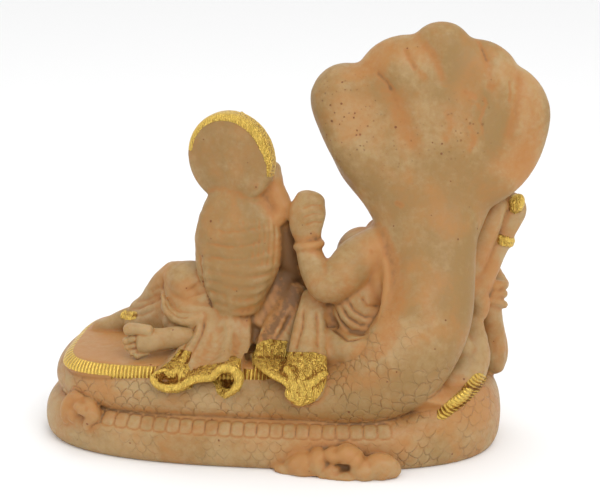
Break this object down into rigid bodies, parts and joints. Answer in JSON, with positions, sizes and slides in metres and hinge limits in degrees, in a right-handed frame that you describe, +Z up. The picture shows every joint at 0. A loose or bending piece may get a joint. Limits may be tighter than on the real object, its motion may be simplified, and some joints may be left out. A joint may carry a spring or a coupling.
{
  "type": "vishnu and lakshmi figure",
  "caption": "Small cast figure group: a god reclining under a many-hooded serpent and a goddess with a round halo, seated on an oval base of serpent coils.",
  "frame": {"origin": "centre of the flat underside of the oval base", "axes": "+X along the base towards the goddess's foot, so the serpent's hoods stand at -X; +Y towards the back, which is the side with the halo's plain face; +Z up"},
  "size_m": [0.1663, 0.0936, 0.1384],
  "materials": {
    "cast_resin": "cast marble-dust resin with a thin brown wash in its hollows and brushed gold paint on its hems and rims"
  },
  "bodies": {
    "root": {"vishnu_lakshmi_figure": "cast_resin"}
  },
  "joints": []
}
